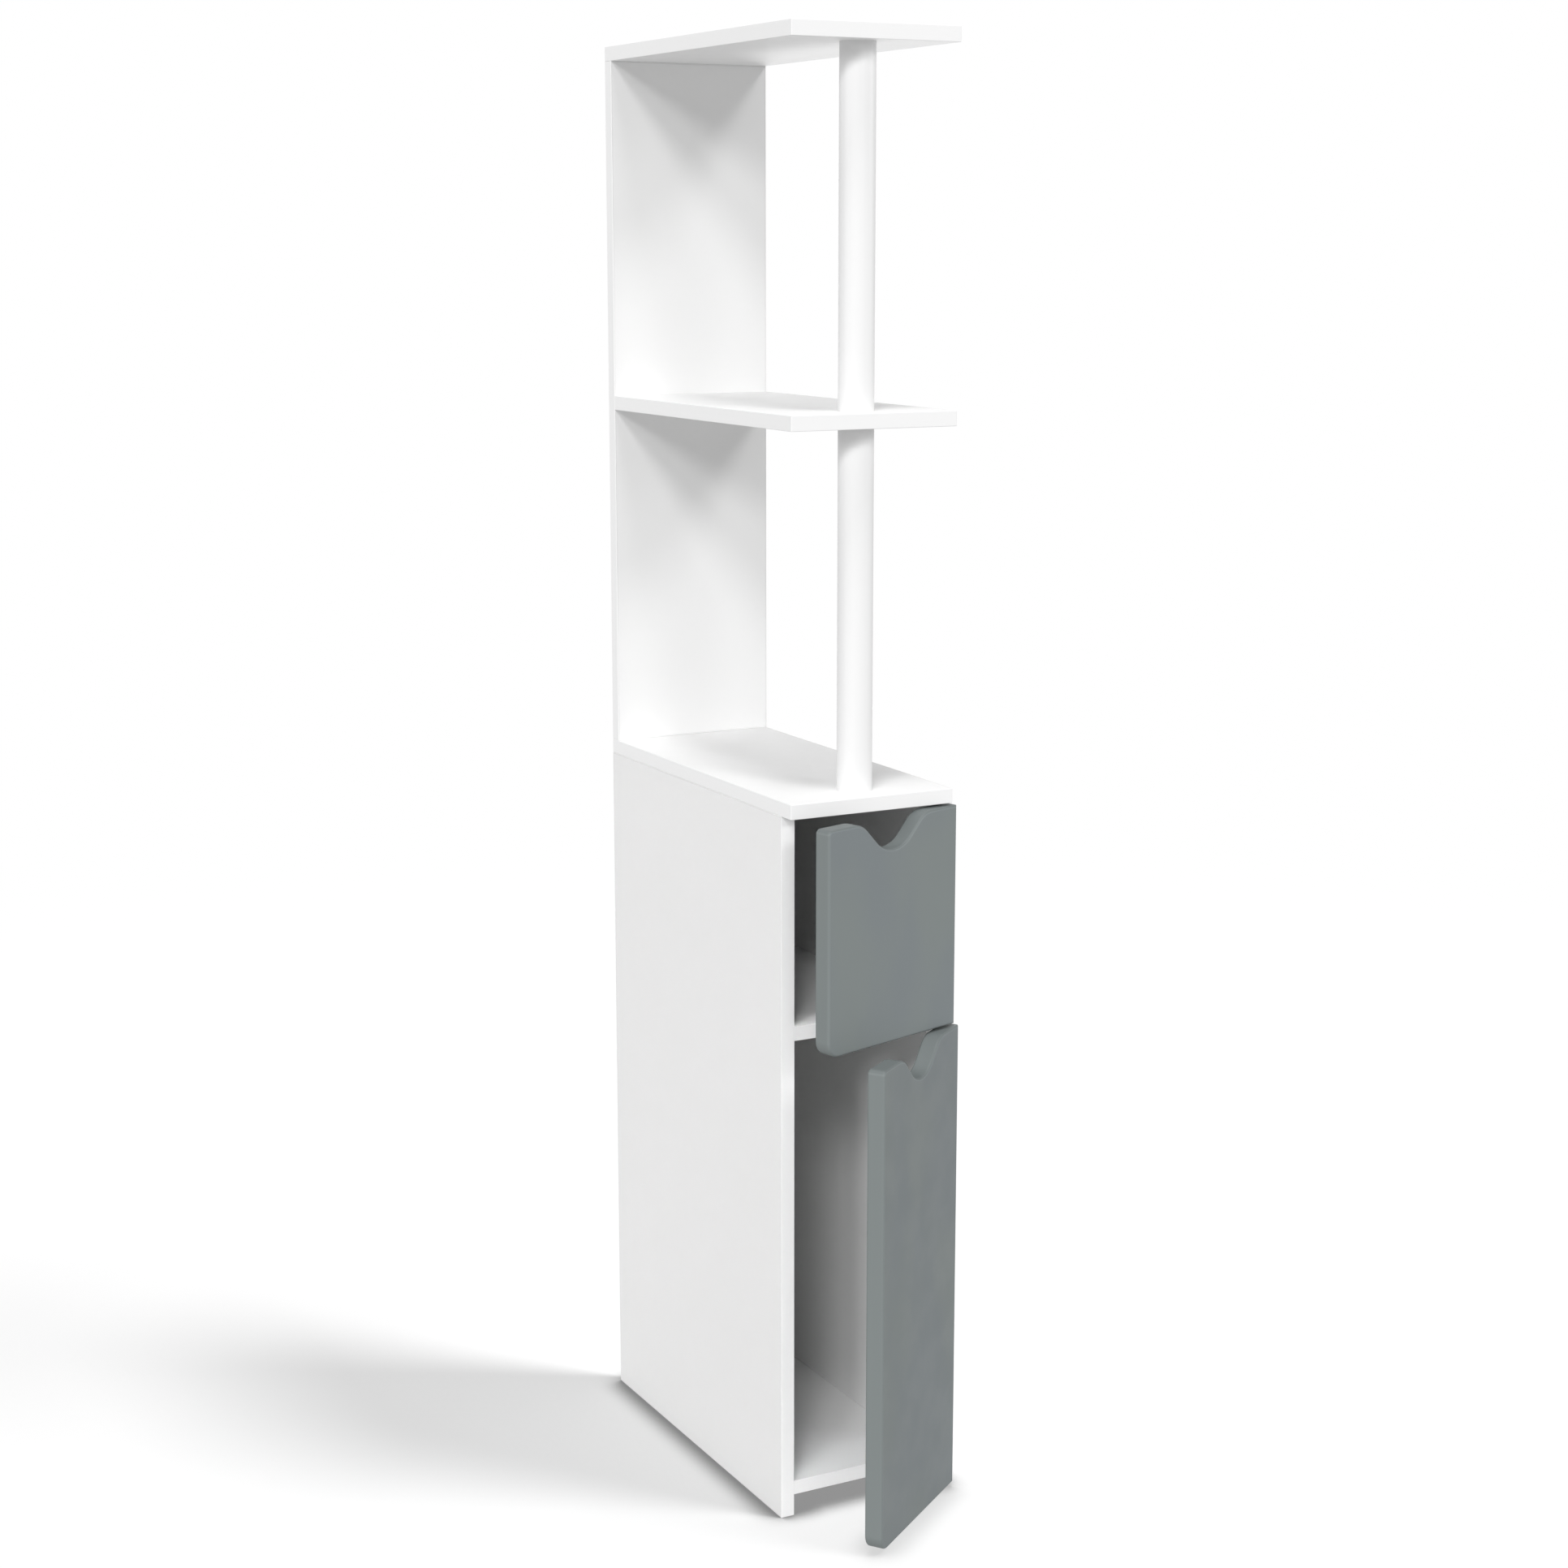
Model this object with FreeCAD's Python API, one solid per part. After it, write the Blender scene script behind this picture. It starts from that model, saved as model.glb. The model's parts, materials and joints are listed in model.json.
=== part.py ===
import FreeCAD, Part
import math
import os
from FreeCAD import Placement, Rotation, Vector

# Slim bathroom tower cabinet: a two-door base, and open shelves above it on a back panel and a round pole.
# X points right, Y to the rear and Z up, in millimetres.
# The doors stand part open, which is how the cabinet rests.
# The boards are built about the middle of their width and depth. At the end everything moves so that the
# origin is on the floor, under the middle of the box that the whole cabinet takes up as it rests.

# Boards
width = 145.0
depth = 330.0
board = 12.0
board_edge_radius = 0.5
toe_height = 18.0
lower_compartment = 372.0
upper_compartment = 170.0
lower_bay = 285.0
upper_bay = 275.0

# Hardboard back of the base, held in grooves
back_thickness = 3.0
back_inset = 14.0
groove_depth = 4.0
groove_clearance = 0.1
back_end_clearance = 0.3

# Pole in two lengths, its axis behind the front edges
pole_diameter = 28.0
pole_setback = 30.0

# Doors
door_thickness = 15.0
door_floor_gap = 4.0
door_reveal = 2.0
door_edge_radius = 2.0
door_foot_radius = 12.0
door_crown_radius = 4.0
upper_door_rest_angle = 16.6
lower_door_rest_angle = 35.7

# Finger notch in the top edge of each door
notch_depth = 24.5
notch_slope_angle = 45.0
notch_bottom_radius = 26.0
notch_shoulder_radius = 20.0

# Hinges: the frame leaf nests in a window of the door leaf
leaf_thickness = 1.0
leaf_clearance = 0.3
knuckle_radius = 2.2
knuckle_gap = 0.3
pin_radius = 1.1
pin_clearance = 0.05
pin_head_radius = 1.8
pin_head_height = 0.8
pin_end_play = 0.1
hinge_end_distance = 45.0
frame_leaf_height = 20.0
frame_leaf_margin = 1.5
frame_leaf_screw_margin = 5.0
door_knuckle_height = 11.7
door_leaf_web = 6.6
leaf_window_clearance = 0.4

# Cam fittings
cam_radius = 6.0
cam_setback = 24.0
cam_skin = 2.2
cam_recess = 0.2
cam_drive_depth = 1.5
bolt_thread_radius = 2.5
bolt_shaft_radius = 3.0
bolt_neck_radius = 1.6
bolt_head_radius = 2.6
bolt_head_length = 3.0
cam_cavity_clearance = 0.3
fitting_clearance = 0.1

# Dowels
dowel_radius = 3.0
dowel_edge_depth = 17.0
dowel_end_clearance = 0.5

# Screws and the stud that joins the pole's two lengths
small_screw_radius = 1.2
small_screw_head_radius = 2.3
wood_screw_radius = 2.0
wood_screw_head_radius = 4.0
wood_screw_bite = 25.0
head_recess = 0.2
hole_clearance = 0.05
drive_slot_length_share = 1.3
drive_slot_width_share = 0.28
drive_slot_depth_share = 0.6
stud_radius = 3.0
stud_bite = 20.0
cap_radius = 5.0
cap_thickness = 2.0
blind_margin = 2.5

# Places of the fittings
front_fitting = 25.0
rear_fitting = 45.0
side_fitting = 35.0

# Derived planes
rear = depth / 2
front = -depth / 2
right = width / 2
left = -width / 2
inner_right = right - board
inner_left = left + board
closing_gap = leaf_thickness + leaf_clearance
side_front = front + door_thickness + closing_gap
bottom_top = toe_height + board
divider_underside = bottom_top + lower_compartment
divider_top = divider_underside + board
base_height = divider_top + upper_compartment
top_board_top = base_height + board
shelf_underside = top_board_top + lower_bay
shelf_top = shelf_underside + board
roof_underside = shelf_top + upper_bay
height = roof_underside + board
groove_rear = rear - back_inset
groove_front = groove_rear - back_thickness - 2 * groove_clearance
back_front = groove_front + groove_clearance
upright_front = rear - board
pole_y = front + pole_setback
hinge_x = right + knuckle_radius + leaf_clearance
hinge_y = side_front - closing_gap / 2
blind_depth = board - blind_margin

UP = Vector(0, 0, 1)
DOWN = Vector(0, 0, -1)
RIGHT = Vector(1, 0, 0)
LEFT = Vector(-1, 0, 0)
REAR = Vector(0, 1, 0)
FRONT = Vector(0, -1, 0)

# Solids and cuts are gathered here by node, with the doors closed
nodes = {}
cuts = {}
rest_angles = {}


def add(node, solid, rest_angle=0.0):
    """Puts a solid in a node. rest_angle is how far its door stands open."""
    nodes.setdefault(node, []).append(solid)
    rest_angles[node] = rest_angle


def cut(node, tool):
    cuts.setdefault(node, []).append(tool)


def slab(x0, x1, y0, y1, z0, z1):
    return Part.makeBox(x1 - x0, y1 - y0, z1 - z0, Vector(x0, y0, z0))


def eased_board(x0, x1, y0, y1, z0, z1):
    solid = slab(x0, x1, y0, y1, z0, z1)
    return solid.makeFillet(board_edge_radius, solid.Edges)


def turned(outline, point, direction):
    """Turns an outline of (radius, distance) corners about an axis from point along direction."""
    corners = [Vector(radius, 0, distance) for radius, distance in outline]
    solid = Part.Face(Part.makePolygon(corners + corners[:1])).revolve(Vector(), UP, 360)
    solid.Placement = Placement(point, Rotation(UP, direction))
    return solid


def drive_cross(radius, deep):
    """A cross-shaped driver recess, from the plane z = 0 to the depth given along +Z."""
    half_length = radius * drive_slot_length_share / 2
    half_width = radius * drive_slot_width_share / 2
    along = slab(-half_length, half_length, -half_width, half_width, -deep, deep)
    across = slab(-half_width, half_width, -half_length, half_length, -deep, deep)
    return along.fuse(across)


def screw_outline(radius, head_radius, length, grow):
    """A countersunk screw from its head's flat face, or its hole where grow is the clearance."""
    cone = head_radius - radius
    return [
        (0, 0),
        (head_radius + grow, 0),
        (radius + grow, cone),
        (radius + grow, length - radius),
        (0, length + grow),
    ]


def screw(node, point, direction, radius, head_radius, length, through, rest_angle=0.0):
    """A countersunk screw with its hole in each board or plate that it goes through."""
    solid = turned(screw_outline(radius, head_radius, length, 0.0), point, direction)
    recess = drive_cross(head_radius, (head_radius - radius) * drive_slot_depth_share)
    recess.Placement = solid.Placement
    add(node, solid.cut(recess), rest_angle)
    for other in through:
        cut(other, turned(screw_outline(radius, head_radius, length, hole_clearance), point, direction))


def dowel_joint(point, into, face_node, edge_node):
    """A dowel from a blind hole in one board's face into the edge of the board that meets it there."""
    start = point - into * blind_depth
    length = blind_depth + dowel_edge_depth
    add("wooden_dowels", Part.makeCylinder(dowel_radius, length, start, into))
    hole_start = start - into * dowel_end_clearance
    hole_length = length + 2 * dowel_end_clearance
    hole = Part.makeCylinder(dowel_radius + hole_clearance, hole_length, hole_start, into)
    cut(face_node, hole)
    cut(edge_node, hole)


def cam_joint(point, into, out, face_node, edge_node):
    """A bolt in one board's face, and a cam that pulls another board's edge onto it.

    into points from the meeting faces into the edge, and out to the face that the cam is let into.
    """
    place = Placement(point, Rotation(out, into.cross(out), into, "ZXY"))
    shaft_end = cam_setback - cam_radius - 2 * fitting_clearance
    head_start = cam_setback - bolt_head_length / 2
    head_end = cam_setback + bolt_head_length / 2
    bolt = turned(
        [
            (0, -blind_depth),
            (bolt_thread_radius, -blind_depth),
            (bolt_thread_radius, 0),
            (bolt_shaft_radius, 0),
            (bolt_shaft_radius, shaft_end),
            (bolt_neck_radius, shaft_end),
            (bolt_neck_radius, head_start),
            (bolt_head_radius, head_start),
            (bolt_head_radius, head_end),
            (0, head_end),
        ],
        point,
        into,
    )
    add("cam_bolts", bolt)
    thread_hole = Part.makeCylinder(
        bolt_thread_radius + fitting_clearance,
        blind_depth + fitting_clearance,
        point,
        into * -1,
    )
    cut(face_node, thread_hole)
    cut(edge_node, Part.makeCylinder(bolt_shaft_radius + fitting_clearance, cam_setback, point, into))

    bore_floor = cam_skin - board / 2
    cam_floor = bore_floor + fitting_clearance
    cam_face = board / 2 - cam_recess
    centre = Vector(0, 0, cam_setback)
    bore = Part.makeCylinder(
        cam_radius + fitting_clearance,
        board / 2 - bore_floor,
        centre + RIGHT * bore_floor,
        RIGHT,
    )
    bore.Placement = place.multiply(bore.Placement)
    cut(edge_node, bore)

    cam = Part.makeCylinder(cam_radius, cam_face - cam_floor, centre + RIGHT * cam_floor, RIGHT)
    neck_way = Part.makeCylinder(bolt_neck_radius + cam_cavity_clearance, cam_setback, Vector(), UP)
    pocket = Part.makeCylinder(
        bolt_head_radius + cam_cavity_clearance,
        bolt_head_length + 2 * cam_cavity_clearance,
        Vector(0, 0, head_start - cam_cavity_clearance),
        UP,
    )
    recess = drive_cross(cam_radius, cam_drive_depth)
    recess.Placement = Placement(centre + RIGHT * cam_face, Rotation(UP, LEFT))
    cam = cam.cut(neck_way).cut(pocket).cut(recess)
    cam.Placement = place.multiply(cam.Placement)
    add("cam_locks", cam)


def corner_joint(points, into, out, face_node, edge_node):
    """A cam at each end of a row of points and dowels between them."""
    for point in (points[0], points[-1]):
        cam_joint(point, into, out, face_node, edge_node)
    for point in points[1:-1]:
        dowel_joint(point, into, face_node, edge_node)


# Boards of the base
groove_left = inner_left - groove_depth
groove_right = inner_right + groove_depth
groove_floor = bottom_top - groove_depth
groove_roof = base_height + groove_depth
groove_run = slab(groove_left, groove_right, groove_front, groove_rear, groove_floor, groove_roof)
for node, x0, x1 in (("left_side_panel", left, inner_left), ("right_side_panel", inner_right, right)):
    add(node, eased_board(x0, x1, side_front, rear, 0, base_height))
    cut(node, groove_run)

add("bottom_panel", eased_board(inner_left, inner_right, side_front, rear, toe_height, bottom_top))
cut("bottom_panel", groove_run)

divider = eased_board(inner_left, inner_right, side_front, groove_front, divider_underside, divider_top)
add("divider_shelf", divider)

add("top_board", eased_board(left, right, front, rear, base_height, top_board_top))
cut("top_board", groove_run)

add(
    "cabinet_back_panel",
    slab(
        groove_left + back_end_clearance,
        groove_right - back_end_clearance,
        back_front,
        back_front + back_thickness,
        groove_floor,
        groove_roof - back_end_clearance,
    ),
)

# Boards of the open shelves
add("upper_back_panel", eased_board(left, right, upright_front, rear, top_board_top, roof_underside))
add("middle_shelf", eased_board(left, right, front, upright_front, shelf_underside, shelf_top))
add("top_shelf", eased_board(left, right, front, rear, roof_underside, height))

# Fittings between the boards
front_row = side_front + front_fitting
rear_row = rear - rear_fitting
fitting_rows = [front_row, (front_row + rear_row) / 2, rear_row]
inner_faces = (("left_side_panel", inner_left, RIGHT), ("right_side_panel", inner_right, LEFT))
for panel, face_x, into in inner_faces:
    panel_middle = face_x - into.x * board / 2
    for shelf, underside in (("bottom_panel", toe_height), ("divider_shelf", divider_underside)):
        row = [Vector(face_x, y, underside + board / 2) for y in fitting_rows]
        corner_joint(row, into, DOWN, panel, shelf)
    row = [Vector(panel_middle, y, base_height) for y in fitting_rows]
    corner_joint(row, DOWN, into, "top_board", panel)

upright_middle = rear - board / 2
fitting_columns = [left + side_fitting, 0.0, right - side_fitting]
foot_row = [Vector(x, upright_middle, top_board_top) for x in fitting_columns]
corner_joint(foot_row, UP, REAR, "top_board", "upper_back_panel")
head_row = [Vector(x, upright_middle, roof_underside) for x in fitting_columns]
corner_joint(head_row, DOWN, REAR, "top_shelf", "upper_back_panel")

shelf_middle = shelf_underside + board / 2
for x in (fitting_columns[0], fitting_columns[-1]):
    screw(
        "shelf_screws",
        Vector(x, rear - head_recess, shelf_middle),
        FRONT,
        wood_screw_radius,
        wood_screw_head_radius,
        board + wood_screw_bite,
        ["upper_back_panel", "middle_shelf"],
    )
    cut(
        "upper_back_panel",
        Part.makeCylinder(
            wood_screw_head_radius + hole_clearance,
            head_recess,
            Vector(x, rear, shelf_middle),
            FRONT,
        ),
    )
dowel_joint(Vector(0, upright_front, shelf_middle), FRONT, "upper_back_panel", "middle_shelf")

# Pole
add("lower_pole", Part.makeCylinder(pole_diameter / 2, lower_bay, Vector(0, pole_y, top_board_top), UP))
add("upper_pole", Part.makeCylinder(pole_diameter / 2, upper_bay, Vector(0, pole_y, shelf_top), UP))

stud_start = Vector(0, pole_y, shelf_underside - stud_bite)
stud_length = board + 2 * stud_bite
add("pole_joining_stud", Part.makeCylinder(stud_radius, stud_length, stud_start, UP))
stud_hole = Part.makeCylinder(
    stud_radius + hole_clearance,
    stud_length + 2 * hole_clearance,
    stud_start + DOWN * hole_clearance,
    UP,
)
for node in ("lower_pole", "middle_shelf", "upper_pole"):
    cut(node, stud_hole)


def pole_screw(board_node, pole_node, face_z, direction, sunk):
    """A screw through a board into the end of the pole, its head sunk below the board's far face."""
    head = Vector(0, pole_y, face_z) + direction * sunk
    screw(
        "pole_screws",
        head,
        direction,
        wood_screw_radius,
        wood_screw_head_radius,
        board - sunk + wood_screw_bite,
        [board_node, pole_node],
    )


pole_screw("top_board", "lower_pole", base_height, UP, head_recess)
cut(
    "top_board",
    Part.makeCylinder(
        wood_screw_head_radius + hole_clearance,
        head_recess,
        Vector(0, pole_y, base_height),
        UP,
    ),
)

pole_screw("top_shelf", "upper_pole", height, DOWN, cap_thickness)
cap_seat = Vector(0, pole_y, height - cap_thickness)
add("pole_screw_cap", Part.makeCylinder(cap_radius, cap_thickness, cap_seat, UP))
cut("top_shelf", Part.makeCylinder(cap_radius + hole_clearance, cap_thickness, cap_seat, UP))


# Doors
def arc(start, middle, end):
    return Part.Arc(start, middle, end).toShape()


def line(start, end):
    return Part.LineSegment(start, end).toShape()


def notch_edges(top):
    """The notch's outline from its left end to its right end, on the door's outer face.

    A round bottom, two straight slopes and two round shoulders, each tangent to the next.
    """
    slope = math.radians(notch_slope_angle)
    apex_depth = notch_depth + notch_bottom_radius * (1 / math.cos(slope) - 1)
    crossing = apex_depth / math.tan(slope)
    tangent = notch_shoulder_radius * math.tan(slope / 2)
    shoulder_x = crossing + tangent
    bottom_centre = notch_depth - notch_bottom_radius

    def point(x, below):
        return Vector(x, front, top - below)

    def shoulder_point(angle, side):
        x = shoulder_x - notch_shoulder_radius * math.sin(angle)
        return point(side * x, notch_shoulder_radius * (1 - math.cos(angle)))

    def bottom_point(angle, side):
        below = bottom_centre + notch_bottom_radius * math.cos(angle)
        return point(side * notch_bottom_radius * math.sin(angle), below)

    return [
        arc(shoulder_point(0, -1), shoulder_point(slope / 2, -1), shoulder_point(slope, -1)),
        line(shoulder_point(slope, -1), bottom_point(slope, -1)),
        arc(bottom_point(slope, -1), point(0, notch_depth), bottom_point(slope, 1)),
        line(bottom_point(slope, 1), shoulder_point(slope, 1)),
        arc(shoulder_point(slope, 1), shoulder_point(slope / 2, 1), shoulder_point(0, 1)),
    ]


def rounded_corner(x, z, radius, side_x, side_z):
    """A quarter circle in the door's outer face, in the corner at x, z of the sides given by sign."""
    centre_x = x - side_x * radius
    centre_z = z - side_z * radius
    reach = radius * math.sqrt(0.5)
    return (
        Vector(x, front, centre_z),
        Vector(centre_x + side_x * reach, front, centre_z + side_z * reach),
        Vector(centre_x, front, z),
    )


def door(node, bottom, top, rest_angle):
    """A door panel with its notch, its two rounded free corners and its eased edges."""
    crown = rounded_corner(left, top, door_crown_radius, -1, 1)
    foot = rounded_corner(left, bottom, door_foot_radius, -1, -1)
    notch = notch_edges(top)
    notch_start = notch[0].Vertexes[0].Point
    notch_end = notch[-1].Vertexes[-1].Point
    top_corner = Vector(right, front, top)
    bottom_corner = Vector(right, front, bottom)
    edges = [arc(*crown), line(crown[2], notch_start)]
    edges += notch
    edges += [line(notch_end, top_corner), line(top_corner, bottom_corner), line(bottom_corner, foot[2])]
    edges += [arc(*reversed(foot)), line(foot[0], crown[0])]
    panel = Part.Face(Part.Wire(edges)).extrude(REAR * door_thickness)
    # The edges of the two faces, without the short ones that cross the door's thickness
    face_edges = [edge for edge in panel.Edges if edge.BoundBox.YLength < door_thickness / 2]
    add(node, panel.makeFillet(door_edge_radius, face_edges), rest_angle)


upper_door_bottom = divider_underside
upper_door_top = base_height - door_reveal
lower_door_bottom = door_floor_gap
lower_door_top = divider_underside - door_reveal
door("upper_door", upper_door_bottom, upper_door_top, upper_door_rest_angle)
door("lower_door", lower_door_bottom, lower_door_top, lower_door_rest_angle)

# Hinges
hinge_screw_length = door_thickness + leaf_thickness - blind_margin
frame_leaf_left = inner_right + frame_leaf_margin
window_left = frame_leaf_left - leaf_window_clearance
window_half = frame_leaf_height / 2 + knuckle_gap
leaf_screw_x = right - board / 2
frame_screw_offset = frame_leaf_height / 2 - frame_leaf_screw_margin
door_screw_offset = window_half + door_knuckle_height / 2


def knuckle(low, high):
    return Part.makeCylinder(knuckle_radius, high - low, Vector(hinge_x, hinge_y, low), UP)


def hinge(name, door_node, middle, rest_angle):
    """One hinge, closed: the frame leaf with its middle knuckle, the door leaf with two, and the pin."""
    half_frame = frame_leaf_height / 2
    half_door = window_half + door_knuckle_height
    frame_leaf = f"{name}_hinge_frame_leaf"
    door_leaf = f"{name}_hinge_door_leaf"

    plate = slab(
        frame_leaf_left,
        hinge_x,
        side_front - leaf_thickness,
        side_front,
        middle - half_frame,
        middle + half_frame,
    )
    add(frame_leaf, plate.fuse(knuckle(middle - half_frame, middle + half_frame)).removeSplitter())

    plate = slab(
        window_left - door_leaf_web,
        hinge_x,
        side_front - closing_gap,
        side_front - leaf_clearance,
        middle - half_door,
        middle + half_door,
    )
    window = slab(
        window_left,
        hinge_x + knuckle_radius,
        side_front - closing_gap - leaf_thickness,
        side_front + leaf_thickness,
        middle - window_half,
        middle + window_half,
    )
    upper_knuckle = knuckle(middle + window_half, middle + half_door)
    lower_knuckle = knuckle(middle - half_door, middle - window_half)
    leaf = plate.cut(window).fuse([upper_knuckle, lower_knuckle]).removeSplitter()
    add(door_leaf, leaf, rest_angle)

    shank_half = half_door + pin_end_play
    head_end = shank_half + pin_head_height
    pin_outline = [
        (0, -head_end),
        (pin_radius, -head_end),
        (pin_head_radius, -shank_half),
        (pin_radius, -shank_half),
        (pin_radius, shank_half),
        (pin_head_radius, shank_half),
        (pin_radius, head_end),
        (0, head_end),
    ]
    add(f"{name}_hinge_pin", turned(pin_outline, Vector(hinge_x, hinge_y, middle), UP))
    bore = Part.makeCylinder(
        pin_radius + pin_clearance,
        2 * head_end,
        Vector(hinge_x, hinge_y, middle - head_end),
        UP,
    )
    cut(frame_leaf, bore)
    cut(door_leaf, bore)

    for side in (-1, 1):
        screw(
            "hinge_frame_screws",
            Vector(leaf_screw_x, side_front - leaf_thickness, middle + side * frame_screw_offset),
            REAR,
            small_screw_radius,
            small_screw_head_radius,
            hinge_screw_length,
            [frame_leaf, "right_side_panel"],
        )
        screw(
            f"{door_node}_hinge_screws",
            Vector(leaf_screw_x, side_front - leaf_clearance, middle + side * door_screw_offset),
            FRONT,
            small_screw_radius,
            small_screw_head_radius,
            hinge_screw_length,
            [door_leaf, door_node],
            rest_angle,
        )


hinge("upper_door_top", "upper_door", upper_door_top - hinge_end_distance, upper_door_rest_angle)
hinge("upper_door_bottom", "upper_door", upper_door_bottom + hinge_end_distance, upper_door_rest_angle)
hinge("lower_door_top", "lower_door", lower_door_top - hinge_end_distance, lower_door_rest_angle)
hinge("lower_door_bottom", "lower_door", lower_door_bottom + hinge_end_distance, lower_door_rest_angle)

# Holes are cut and the doors are turned to where they rest
finished = {}
for node, solids in nodes.items():
    tools = cuts.get(node, [])
    whole = []
    for solid in solids:
        shape = solid.cut(tools) if tools else solid
        shape.rotate(Vector(hinge_x, hinge_y, 0), UP, rest_angles[node])
        whole += shape.Solids
    finished[node] = whole[0] if len(whole) == 1 else Part.makeCompound(whole)

# Everything moves to the origin, and each node is written to its own file
box = Part.makeCompound(list(finished.values())).optimalBoundingBox(False, False)
to_origin = Vector(-box.Center.x, -box.Center.y, 0)
os.makedirs("parts", exist_ok=True)
for node, shape in finished.items():
    shape.translate(to_origin)
    shape.exportStep(f"parts/{node}.step")
    print(node, len(shape.Solids), shape.isValid(), round(shape.Volume, 1))
print("height", height, "moved by", to_origin, "hinge axis", Vector(hinge_x, hinge_y, 0) + to_origin)
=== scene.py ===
import json
import math

import bpy
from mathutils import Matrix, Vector


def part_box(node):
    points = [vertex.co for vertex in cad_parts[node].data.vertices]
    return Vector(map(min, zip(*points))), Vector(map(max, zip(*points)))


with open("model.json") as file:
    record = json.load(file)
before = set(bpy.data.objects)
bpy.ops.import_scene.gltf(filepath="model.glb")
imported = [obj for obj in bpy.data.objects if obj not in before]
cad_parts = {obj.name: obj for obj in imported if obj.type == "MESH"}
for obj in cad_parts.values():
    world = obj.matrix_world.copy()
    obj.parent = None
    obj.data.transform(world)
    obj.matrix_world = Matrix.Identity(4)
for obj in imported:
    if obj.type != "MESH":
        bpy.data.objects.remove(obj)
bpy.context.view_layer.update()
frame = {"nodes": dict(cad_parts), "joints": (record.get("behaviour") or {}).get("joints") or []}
nodes = frame["nodes"]

X_AXIS, Y_AXIS, Z_AXIS = 0, 1, 2
BASE_BOARDS = ("left_side_panel", "right_side_panel", "bottom_panel", "divider_shelf")
POLES = ("lower_pole", "upper_pole")
DOORS = tuple(joint["child"] for joint in frame["joints"])
BROAD_AXES = {
    "left_side_panel": X_AXIS,
    "right_side_panel": X_AXIS,
    "bottom_panel": Z_AXIS,
    "divider_shelf": Z_AXIS,
    "top_board": Z_AXIS,
    "upper_back_panel": Y_AXIS,
    "middle_shelf": Z_AXIS,
    "top_shelf": Z_AXIS,
}

# Camera, in metres, degrees and millimetres of lens
CAMERA_PLACE = (-1.04672, -1.94028, 1.01713)
CAMERA_YAW = 27.947
CAMERA_PITCH = 11.112
LEVEL_TILT = 90
CAMERA_LENS = 62.83
SENSOR_WIDTH = 36.0

# Lamps, all far off, as (azimuth, elevation, spread, strength). The angles are in degrees, with azimuth 0
# straight in front and 90 to the right. The object's lamps light everything but the floor.
SOFT = 11.5
OBJECT_LAMPS = {
    "key_lamp": (-35, 36, SOFT, 0.92),
    "side_lamp": (-50, 26, SOFT, 0.82),
    "left_lamp": (-95, 12, SOFT, 0.53),
    "front_lamp": (0, 12, SOFT, 0.25),
    "right_lamp": (20, 26, SOFT, 0.60),
    "top_lamp": (-35, 78, SOFT, 1.24),
    "back_lamp": (145, 8, SOFT, 0.8),
}
MATT_LAMPS = ("back_lamp",)

# Lamps that light some pieces alone. The doors don't block the edge lamp, nor the floor the under lamp.
NARROW = 2
PIECE_LAMPS = {
    "under_lamp": ((150, -60, SOFT, 1.0), ("top_shelf",)),
    "edge_lamp": ((0, 2, NARROW, 0.46), BASE_BOARDS),
    "pole_lamp": ((70, 10, SOFT, 0.52), POLES),
}

# Lamps that light the floor alone, and the boards that cast a shadow in each. The doors cast a faint one too.
BROAD = 16
FLOOR_LAMPS = {
    "shadow_lamp": (47, 53, BROAD, 2.4),
    "faint_shadow_lamp": (47, 53, BROAD, 1.05),
}
SHADOW_BOARDS = ("left_side_panel",)
FAINT_SHADOW_BOARDS = ("left_side_panel", "top_board", "middle_shelf", "top_shelf")

# The room's light on the object, and the floor: its size, where it starts and ends fading to white, its share
# of white before that, its colour, and the even light that it sends up
ROOM_LIGHT = 0.25
FLOOR_SIZE = 60.0
FLOOR_NEAR = 1.1
FLOOR_FAR = 2.6
FLOOR_LIFT = 0.58
FLOOR_SHOWN = 0.92
FLOOR_BOUNCE = 0.55
FLOOR_ROUGHNESS = 0.9
FLOOR_GLOSS = 0.0

# Contact shade on the floor: how far it reaches, how deep it gets at the boards and at the doors in front of
# them, and the openness of a corner and of the free floor
CONTACT_REACH = 0.03
BOARD_CONTACT = 0.7
DOOR_CONTACT = 0.25
CORNER_OPENNESS = 0.5
FREE_OPENNESS = 1.0

# Colours, linear
WHITE = (1, 1, 1, 1)
LAMINATE = (0.85, 0.85, 0.85, 1)
LAMINATE_SHADE = (0.835, 0.835, 0.832, 1)
EDGE_BAND = (0.88, 0.88, 0.88, 1)
BAND_LINE = (0.60, 0.60, 0.60, 1)
POLE_WHITE = (0.82, 0.82, 0.82, 1)
POLE_SHADE = (0.80, 0.80, 0.80, 1)
DOOR_GREY = (0.217, 0.242, 0.240, 1)
DOOR_GREY_COOL = (0.208, 0.232, 0.240, 1)
# Door edges carry painted shade: darker than the faces, and darkest where they face up
DOOR_EDGE_PAINTED_SHADE = (0.190, 0.212, 0.211, 1)
DOOR_UPWARD_EDGE_PAINTED_SHADE = (0.150, 0.168, 0.168, 1)
HARDBOARD = (0.74, 0.74, 0.72, 1)
HARDBOARD_FIBRE = (0.62, 0.60, 0.56, 1)
STEEL = (0.62, 0.62, 0.63, 1)
STEEL_DARK = (0.46, 0.46, 0.47, 1)
ZINC = (0.56, 0.57, 0.58, 1)
ZINC_DARK = (0.42, 0.43, 0.44, 1)
BEECH = (0.60, 0.42, 0.25, 1)
BEECH_DARK = (0.46, 0.30, 0.17, 1)
CAP_WHITE = (0.84, 0.84, 0.83, 1)
CAP_SHADE = (0.78, 0.78, 0.77, 1)

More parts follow.
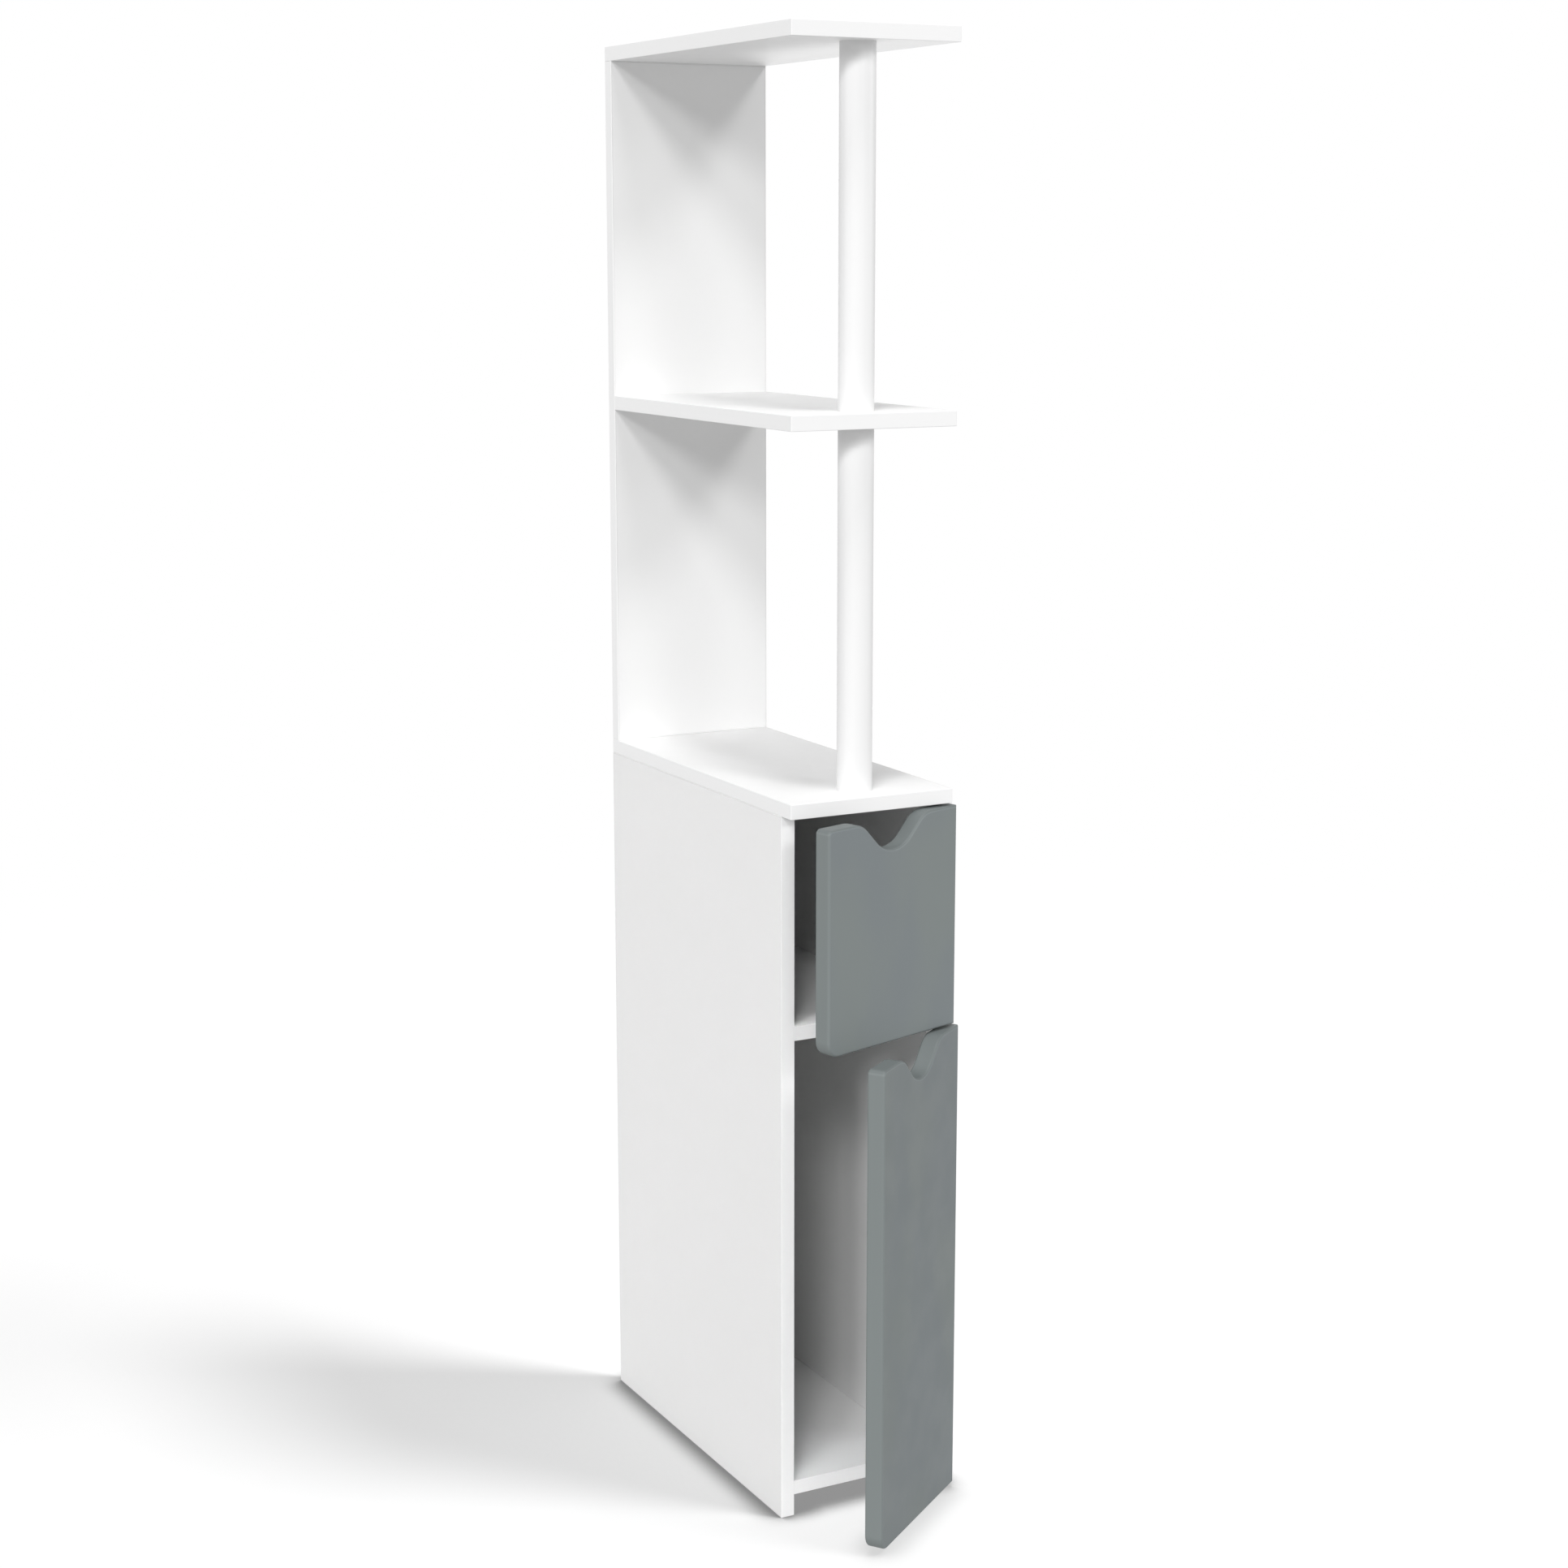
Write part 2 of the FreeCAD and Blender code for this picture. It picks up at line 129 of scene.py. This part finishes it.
# The range that most of a noise lies in, the places of a mix node's colour sockets, and no stretch at all
NOISE_LOW, NOISE_HIGH = 0.3, 0.7
MIX_FIRST, MIX_SECOND, MIX_RESULT = 6, 7, 2
EVEN = (1, 1, 1)


class Finish:
    """A new material, with short ways to put nodes in front of its shader."""

    def __init__(self, name):
        self.material = bpy.data.materials.new(name)
        self.material.use_nodes = True
        self.tree = self.material.node_tree
        self.shader = self.tree.nodes["Principled BSDF"]
        self.coordinates = self.tree.nodes.new("ShaderNodeTexCoord")

    def give(self, socket, value):
        """Links an output to a socket, or sets the socket to a number or colour."""
        if isinstance(value, bpy.types.NodeSocket):
            self.tree.links.new(value, socket)
        else:
            socket.default_value = value

    def math(self, operation, first, second=0.0):
        """The result of an operation on one or two values."""
        node = self.tree.nodes.new("ShaderNodeMath")
        node.operation = operation
        self.give(node.inputs[0], first)
        self.give(node.inputs[1], second)
        return node.outputs[0]

    def ramp(self, value, start, end, low=0.0, high=1.0):
        """Goes smoothly from low to high while value goes from start to end."""
        node = self.tree.nodes.new("ShaderNodeMapRange")
        node.interpolation_type = "SMOOTHSTEP"
        self.give(node.inputs["Value"], value)
        node.inputs["From Min"].default_value = start
        node.inputs["From Max"].default_value = end
        node.inputs["To Min"].default_value = low
        node.inputs["To Max"].default_value = high
        return node.outputs["Result"]

    def vary(self, noise, low=0.0, high=1.0):
        """Goes smoothly from low to high over the range that most of a noise lies in."""
        return self.ramp(noise, NOISE_LOW, NOISE_HIGH, low, high)

    def mix(self, share, first, second):
        """A colour between first and second."""
        node = self.tree.nodes.new("ShaderNodeMix")
        node.data_type = "RGBA"
        self.give(node.inputs["Factor"], share)
        self.give(node.inputs[MIX_FIRST], first)
        self.give(node.inputs[MIX_SECOND], second)
        return node.outputs[MIX_RESULT]

    def parts(self, vector):
        """The x, y and z of a vector."""
        node = self.tree.nodes.new("ShaderNodeSeparateXYZ")
        self.give(node.inputs[0], vector)
        return node.outputs

    def length(self, vector):
        """The length of a vector."""
        node = self.tree.nodes.new("ShaderNodeVectorMath")
        node.operation = "LENGTH"
        self.give(node.inputs[0], vector)
        return node.outputs["Value"]

    def stretched(self, scale):
        """Places on the object, scaled along each axis."""
        node = self.tree.nodes.new("ShaderNodeMapping")
        self.give(node.inputs["Vector"], self.coordinates.outputs["Object"])
        node.inputs["Scale"].default_value = scale
        return node.outputs["Vector"]

    def noise(self, grain, detail, stretch=EVEN):
        """Noise from 0 to 1 whose grains measure about grain metres, divided by stretch along each axis."""
        node = self.tree.nodes.new("ShaderNodeTexNoise")
        self.give(node.inputs["Vector"], self.stretched(stretch))
        node.inputs["Scale"].default_value = 1 / grain
        node.inputs["Detail"].default_value = detail
        return node.outputs["Fac"]

    def cells(self, grain):
        """Distance from the middle of rounded cells that measure about grain metres."""
        node = self.tree.nodes.new("ShaderNodeTexVoronoi")
        self.give(node.inputs["Vector"], self.coordinates.outputs["Object"])
        node.feature = "SMOOTH_F1"
        node.inputs["Scale"].default_value = 1 / grain
        return node.outputs["Distance"]

    def bump(self, height, depth, under=None):
        """Bumps that are depth metres high where height goes from 0 to 1, over those of another bump node."""
        node = self.tree.nodes.new("ShaderNodeBump")
        self.give(node.inputs["Height"], height)
        node.inputs["Distance"].default_value = depth
        node.inputs["Strength"].default_value = 1.0
        if under is not None:
            self.give(node.inputs["Normal"], under)
        return node.outputs["Normal"]

    def openness(self, reach):
        """How free a place is of surfaces within reach of it, from 0 to 1."""
        node = self.tree.nodes.new("ShaderNodeAmbientOcclusion")
        node.inputs["Distance"].default_value = reach
        return node.outputs["AO"]

    def glow(self, strength):
        """A shader that sends out white light."""
        node = self.tree.nodes.new("ShaderNodeEmission")
        self.give(node.inputs["Strength"], strength)
        return node.outputs["Emission"]

    def blend(self, share, first, second):
        """A shader between first and second."""
        node = self.tree.nodes.new("ShaderNodeMixShader")
        self.give(node.inputs[0], share)
        self.give(node.inputs[1], first)
        self.give(node.inputs[2], second)
        return node.outputs["Shader"]

    def set(self, **values):
        """Sets inputs of the shader, named with underscores for spaces."""
        for name, value in values.items():
            self.give(self.shader.inputs[name.replace("_", " ")], value)
        return self.material


# White boards, in metres. A surface is an edge up to the first facing and a broad face from the second.
BOARD_EDGE_FACING = 0.55
BOARD_FACE_FACING = 0.85
BAND_THICKNESS = 0.0009
BAND_LINE_WIDTH = 0.00035
BAND_LINE_DEPTH = 0.00006
BAND_LINE_SHARE = 0.45
PEARL_GRAIN = 0.0011
PEARL_DEPTH = 0.000012
BOARD_CLOUD_GRAIN = 0.09
SCUFF_GRAIN = 0.012
BOARD_ROUGHNESS = (0.40, 0.50)
BOARD_GLOSS = 0.4


def board_finish(node, face_axis):
    """White melamine: laminate on both broad faces, a banded edge all round and a hairline between them."""
    low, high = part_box(node)
    finish = Finish(f"{node}_finish")
    facing = finish.parts(finish.coordinates.outputs["Normal"])
    broad = finish.ramp(finish.math("ABSOLUTE", facing[face_axis]), BOARD_EDGE_FACING, BOARD_FACE_FACING)

    place = finish.parts(finish.coordinates.outputs["Object"])
    inset = None
    for axis in (X_AXIS, Y_AXIS, Z_AXIS):
        if axis == face_axis:
            continue
        middle = (low[axis] + high[axis]) / 2
        half = (high[axis] - low[axis]) / 2
        off_middle = finish.math("ABSOLUTE", finish.math("SUBTRACT", place[axis], middle))
        from_edge = finish.math("SUBTRACT", half, off_middle)
        inset = from_edge if inset is None else finish.math("MINIMUM", inset, from_edge)
    off_line = finish.math("ABSOLUTE", finish.math("SUBTRACT", inset, BAND_THICKNESS))
    line = finish.math("MULTIPLY", broad, finish.ramp(off_line, 0.0, BAND_LINE_WIDTH, 1.0, 0.0))

    cloud = finish.noise(BOARD_CLOUD_GRAIN, detail=3.0)
    pearl = finish.cells(PEARL_GRAIN)
    laminate = finish.mix(cloud, LAMINATE, LAMINATE_SHADE)
    colour = finish.mix(broad, EDGE_BAND, laminate)
    colour = finish.mix(finish.math("MULTIPLY", line, BAND_LINE_SHARE), colour, BAND_LINE)
    scuffs = finish.noise(SCUFF_GRAIN, detail=4.0)
    groove = finish.bump(finish.math("SUBTRACT", 1.0, line), BAND_LINE_DEPTH)
    return finish.set(
        Base_Color=colour,
        Roughness=finish.vary(scuffs, *BOARD_ROUGHNESS),
        Normal=finish.bump(pearl, PEARL_DEPTH, under=groove),
        Specular_IOR_Level=BOARD_GLOSS,
    )


# Doors, in metres. Facing is as for the boards, and an edge gets the deepest painted shade where it faces up
# by so much.
DOOR_EDGE_FACING = 0.80
DOOR_FACE_FACING = 0.97
UPWARD_SHADE_START = 0.2
UPWARD_SHADE_FULL = 0.6
PEEL_GRAIN = 0.0026
PEEL_DEPTH = 0.000010
DOOR_CLOUD_GRAIN = 0.06
DOOR_CLOUD_STRETCH = (1, 1, 0.4)
DOOR_CLOUD_RANGE = (0.35, 0.65)
SMEAR_GRAIN = 0.03
DOOR_ROUGHNESS = (0.46, 0.56)
DOOR_GLOSS = 0.2


def door_finish(node, open_angle):
    """Grey satin lacquer on fibreboard with a soft orange peel, and painted shade on the edges, deepest on
    those that face up.
    """
    finish = Finish(f"{node}_finish")
    turn = math.radians(open_angle)
    facing = finish.parts(finish.coordinates.outputs["Normal"])
    across = finish.math("MULTIPLY", facing[X_AXIS], math.sin(turn))
    along = finish.math("MULTIPLY", facing[Y_AXIS], math.cos(turn))
    flatness = finish.math("ABSOLUTE", finish.math("SUBTRACT", across, along))
    broad = finish.ramp(flatness, DOOR_EDGE_FACING, DOOR_FACE_FACING)
    # How far an edge faces up; such edges get the deepest painted shade
    upward = finish.ramp(facing[Z_AXIS], UPWARD_SHADE_START, UPWARD_SHADE_FULL)

    cloud = finish.noise(DOOR_CLOUD_GRAIN, detail=2.0, stretch=DOOR_CLOUD_STRETCH)
    face = finish.mix(finish.ramp(cloud, *DOOR_CLOUD_RANGE), DOOR_GREY, DOOR_GREY_COOL)
    # Painted shade on the door's edges, deepest on those that face up
    edge = finish.mix(upward, DOOR_EDGE_PAINTED_SHADE, DOOR_UPWARD_EDGE_PAINTED_SHADE)
    colour = finish.mix(broad, edge, face)
    peel = finish.noise(PEEL_GRAIN, detail=1.0)
    smears = finish.noise(SMEAR_GRAIN, detail=3.0)
    return finish.set(
        Base_Color=colour,
        Roughness=finish.vary(smears, *DOOR_ROUGHNESS),
        Normal=finish.bump(peel, PEEL_DEPTH),
        Specular_IOR_Level=DOOR_GLOSS,
    )


# Pole, in metres
FOIL_GRAIN = 0.0012
FOIL_STRETCH = (1, 1, 0.03)
FOIL_DEPTH = 0.000008
FOIL_CLOUD_GRAIN = 0.05
FOIL_ROUGHNESS = (0.36, 0.46)
FOIL_GLOSS = 0.45


def pole_finish():
    """White foil wrapped round a rod, with a faint lengthwise grain."""
    finish = Finish("pole_finish")
    grain = finish.noise(FOIL_GRAIN, detail=3.0, stretch=FOIL_STRETCH)
    cloud = finish.noise(FOIL_CLOUD_GRAIN, detail=2.0)
    return finish.set(
        Base_Color=finish.mix(cloud, POLE_WHITE, POLE_SHADE),
        Roughness=finish.vary(grain, *FOIL_ROUGHNESS),
        Normal=finish.bump(grain, FOIL_DEPTH),
        Specular_IOR_Level=FOIL_GLOSS,
    )


# Hardboard, in metres
FIBRE_GRAIN = 0.0016
FIBRE_STRETCH = (1, 1, 0.35)
FIBRE_DEPTH = 0.00004
FIBRE_RANGE = (0.5, 0.75)
FIBRE_SHARE = 0.6
HARDBOARD_ROUGHNESS = (0.55, 0.7)


def hardboard_finish():
    """White-faced hardboard with its fibres showing through a little."""
    finish = Finish("hardboard_finish")
    fibres = finish.noise(FIBRE_GRAIN, detail=5.0, stretch=FIBRE_STRETCH)
    shown = finish.ramp(fibres, *FIBRE_RANGE, high=FIBRE_SHARE)
    return finish.set(
        Base_Color=finish.mix(shown, HARDBOARD, HARDBOARD_FIBRE),
        Roughness=finish.vary(fibres, *HARDBOARD_ROUGHNESS),
        Normal=finish.bump(fibres, FIBRE_DEPTH),
    )


# Metals, as (light colour, dark colour, grain of the marks in metres, their stretch, roughness)
METALS = {
    "hinge_steel": (STEEL, STEEL_DARK, 0.0006, (1, 1, 0.08), (0.28, 0.42)),
    "cam_zinc": (ZINC, ZINC_DARK, 0.0005, EVEN, (0.38, 0.55)),
    "screw_zinc": (STEEL, STEEL_DARK, 0.0005, EVEN, (0.24, 0.36)),
}
METAL_PATCH_GRAIN = 0.004
METAL_MARK_DEPTH = 0.000012


def metal_finish(metal):
    """Bare or plated metal with fine marks and patchy gloss."""
    light, dark, grain, stretch, roughness = METALS[metal]
    finish = Finish(f"{metal}_finish")
    marks = finish.noise(grain, detail=4.0, stretch=stretch)
    patches = finish.noise(METAL_PATCH_GRAIN, detail=3.0)
    return finish.set(
        Base_Color=finish.mix(finish.vary(patches), light, dark),
        Metallic=1.0,
        Roughness=finish.vary(marks, *roughness),
        Normal=finish.bump(marks, METAL_MARK_DEPTH),
    )


# Dowels, in metres
BEECH_GRAIN = 0.0008
BEECH_STRETCH = (0.3, 1, 1)
BEECH_DEPTH = 0.00004
BEECH_ROUGHNESS = (0.55, 0.7)
FLECK_GRAIN = 0.0006
FLECK_STRETCH = (0.25, 1, 1)
FLECK_RANGE = (0.6, 0.75)
FLECK_SHARE = 0.5


def dowel_finish():
    """Beech with grain and short dark flecks, both longest along x."""
    finish = Finish("dowel_finish")
    grain = finish.noise(BEECH_GRAIN, detail=5.0, stretch=BEECH_STRETCH)
    flecks = finish.ramp(finish.noise(FLECK_GRAIN, detail=2.0, stretch=FLECK_STRETCH), *FLECK_RANGE)
    colour = finish.mix(finish.vary(grain), BEECH, BEECH_DARK)
    return finish.set(
        Base_Color=finish.mix(finish.math("MULTIPLY", flecks, FLECK_SHARE), colour, BEECH_DARK),
        Roughness=finish.vary(grain, *BEECH_ROUGHNESS),
        Normal=finish.bump(grain, BEECH_DEPTH),
    )


# Screw cap, in metres
CAP_GRAIN = 0.0004
CAP_DEPTH = 0.00002
CAP_ROUGHNESS = (0.45, 0.6)


def cap_finish():
    """White moulded plastic with a fine spark-eroded grain."""
    finish = Finish("cap_finish")
    grain = finish.noise(CAP_GRAIN, detail=3.0)
    return finish.set(
        Base_Color=finish.mix(grain, CAP_WHITE, CAP_SHADE),
        Roughness=finish.vary(grain, *CAP_ROUGHNESS),
        Normal=finish.bump(grain, CAP_DEPTH),
    )


def wear(node, material):
    """Gives a node its finish."""
    mesh = nodes[node].data
    mesh.materials.clear()
    mesh.materials.append(material)


def dress_cabinet():
    """Gives every node its finish. A joint's lowest angle closes its door, which rests that far open."""
    for name, face_axis in BROAD_AXES.items():
        wear(name, board_finish(name, face_axis))
    for joint in frame["joints"]:
        wear(joint["child"], door_finish(joint["child"], -joint["range_deg"][0]))
    pole = pole_finish()
    for name in POLES:
        wear(name, pole)
    wear("cabinet_back_panel", hardboard_finish())
    wear("wooden_dowels", dowel_finish())
    wear("pole_screw_cap", cap_finish())

    hinge_steel = metal_finish("hinge_steel")
    cam_zinc = metal_finish("cam_zinc")
    screw_zinc = metal_finish("screw_zinc")
    for name in nodes:
        if name.endswith(("_leaf", "hinge_pin")):
            wear(name, hinge_steel)
        elif name.startswith("cam_"):
            wear(name, cam_zinc)
        elif name.endswith(("_screws", "_stud")):
            wear(name, screw_zinc)


# Floor, room, lamps and camera
def shown_rays(tree):
    """One for rays from the camera, straight or by way of metal or glass, and otherwise zero."""
    path = tree.nodes.new("ShaderNodeLightPath")
    shown = path.outputs["Is Camera Ray"]
    for ray in ("Is Glossy Ray", "Is Transmission Ray"):
        either = tree.nodes.new("ShaderNodeMath")
        either.operation = "MAXIMUM"
        tree.links.new(shown, either.inputs[0])
        tree.links.new(path.outputs[ray], either.inputs[1])
        shown = either.outputs[0]
    return shown


def floor_finish():
    """A pale floor with shadows and contact shade, which fades to white and sends an even light up."""
    finish = Finish("floor_finish")
    place = finish.coordinates.outputs["Object"]
    board_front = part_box("left_side_panel")[0][Y_AXIS]
    doors_end = board_front - CONTACT_REACH
    deepest = finish.ramp(finish.parts(place)[Y_AXIS], doors_end, board_front, DOOR_CONTACT, BOARD_CONTACT)
    closeness = finish.ramp(finish.openness(CONTACT_REACH), CORNER_OPENNESS, FREE_OPENNESS, 1.0, 0.0)
    contact = finish.math("SUBTRACT", 1.0, finish.math("MULTIPLY", deepest, closeness))
    colour = finish.math("MULTIPLY", FLOOR_SHOWN, contact)
    finish.set(Base_Color=colour, Roughness=FLOOR_ROUGHNESS, Specular_IOR_Level=FLOOR_GLOSS)

    far = finish.ramp(finish.length(place), FLOOR_NEAR, FLOOR_FAR, FLOOR_LIFT, 1.0)
    seen = finish.blend(far, finish.shader.outputs["BSDF"], finish.glow(contact))
    surface = finish.blend(shown_rays(finish.tree), finish.glow(FLOOR_BOUNCE), seen)
    finish.give(finish.tree.nodes["Material Output"].inputs["Surface"], surface)
    finish.material.cycles.emission_sampling = "NONE"
    return finish.material


def make_floor():
    """A level square under the cabinet."""
    half = FLOOR_SIZE / 2
    mesh = bpy.data.meshes.new("floor")
    corners = [(-half, -half, 0), (half, -half, 0), (half, half, 0), (-half, half, 0)]
    mesh.from_pydata(corners, [], [(0, 1, 2, 3)])
    mesh.materials.append(floor_finish())
    floor = bpy.data.objects.new("floor", mesh)
    bpy.context.scene.collection.objects.link(floor)
    return floor


def make_room():
    """An even white room: it lights the object a little, and shows white to the camera and in reflections."""
    world = bpy.data.worlds.new("room")
    world.use_nodes = True
    bpy.context.scene.world = world
    tree = world.node_tree
    strength = tree.nodes.new("ShaderNodeMapRange")
    tree.links.new(shown_rays(tree), strength.inputs["Value"])
    strength.inputs["To Min"].default_value = ROOM_LIGHT
    strength.inputs["To Max"].default_value = 1.0
    background = tree.nodes["Background"]
    background.inputs["Color"].default_value = WHITE
    tree.links.new(strength.outputs["Result"], background.inputs["Strength"])


def light_group(name, objects, state):
    """A collection for a lamp's links, of the objects alone (INCLUDE) or of all but the objects (EXCLUDE)."""
    group = bpy.data.collections.new(name)
    for item in objects:
        group.objects.link(item)
    for member in group.collection_objects:
        member.light_linking.link_state = state
    return group


def hang_lamp(name, aim, receivers, blockers):
    """Hangs a far lamp that lights the receivers alone, shaded by the blockers, or by everything for None."""
    azimuth, elevation, spread, strength = aim
    light = bpy.data.lights.new(name, "SUN")
    light.angle = math.radians(spread)
    light.energy = strength
    turn, rise = math.radians(azimuth), math.radians(elevation)
    away = Vector((math.sin(turn) * math.cos(rise), -math.cos(turn) * math.cos(rise), math.sin(rise)))
    lamp = bpy.data.objects.new(name, light)
    lamp.rotation_euler = away.to_track_quat("Z", "Y").to_euler()
    lamp.visible_glossy = name not in MATT_LAMPS
    lamp.light_linking.receiver_collection = receivers
    lamp.light_linking.blocker_collection = blockers
    bpy.context.scene.collection.objects.link(lamp)


def make_light(floor):
    """Lights the object, some of its pieces and the floor from lamps of their own."""
    all_but_floor = light_group("all_but_floor", [floor], "EXCLUDE")
    floor_alone = light_group("floor_alone", [floor], "INCLUDE")
    doors = [nodes[name] for name in DOORS]
    shadow_pieces = [nodes[name] for name in SHADOW_BOARDS]
    faint_shadow_pieces = [nodes[name] for name in FAINT_SHADOW_BOARDS] + doors
    blockers = {
        "under_lamp": all_but_floor,
        "edge_lamp": light_group("all_but_doors", doors, "EXCLUDE"),
        "shadow_lamp": light_group("shadow_pieces", shadow_pieces, "INCLUDE"),
        "faint_shadow_lamp": light_group("faint_shadow_pieces", faint_shadow_pieces, "INCLUDE"),
    }
    for name, aim in OBJECT_LAMPS.items():
        hang_lamp(name, aim, all_but_floor, blockers.get(name))
    for name, (aim, lit) in PIECE_LAMPS.items():
        receivers = light_group(f"{name}_pieces", [nodes[piece] for piece in lit], "INCLUDE")
        hang_lamp(name, aim, receivers, blockers.get(name))
    for name, aim in FLOOR_LAMPS.items():
        hang_lamp(name, aim, floor_alone, blockers.get(name))


def make_camera():
    """A camera at the photograph's viewing angle."""
    lens = bpy.data.cameras.new("camera")
    lens.lens = CAMERA_LENS
    lens.sensor_width = SENSOR_WIDTH
    camera = bpy.data.objects.new("camera", lens)
    camera.location = CAMERA_PLACE
    camera.rotation_euler = (math.radians(LEVEL_TILT - CAMERA_PITCH), 0, math.radians(-CAMERA_YAW))
    bpy.context.scene.collection.objects.link(camera)
    bpy.context.scene.camera = camera


dress_cabinet()
make_light(make_floor())
make_room()
make_camera()
bpy.context.scene.view_settings.view_transform = "Standard"
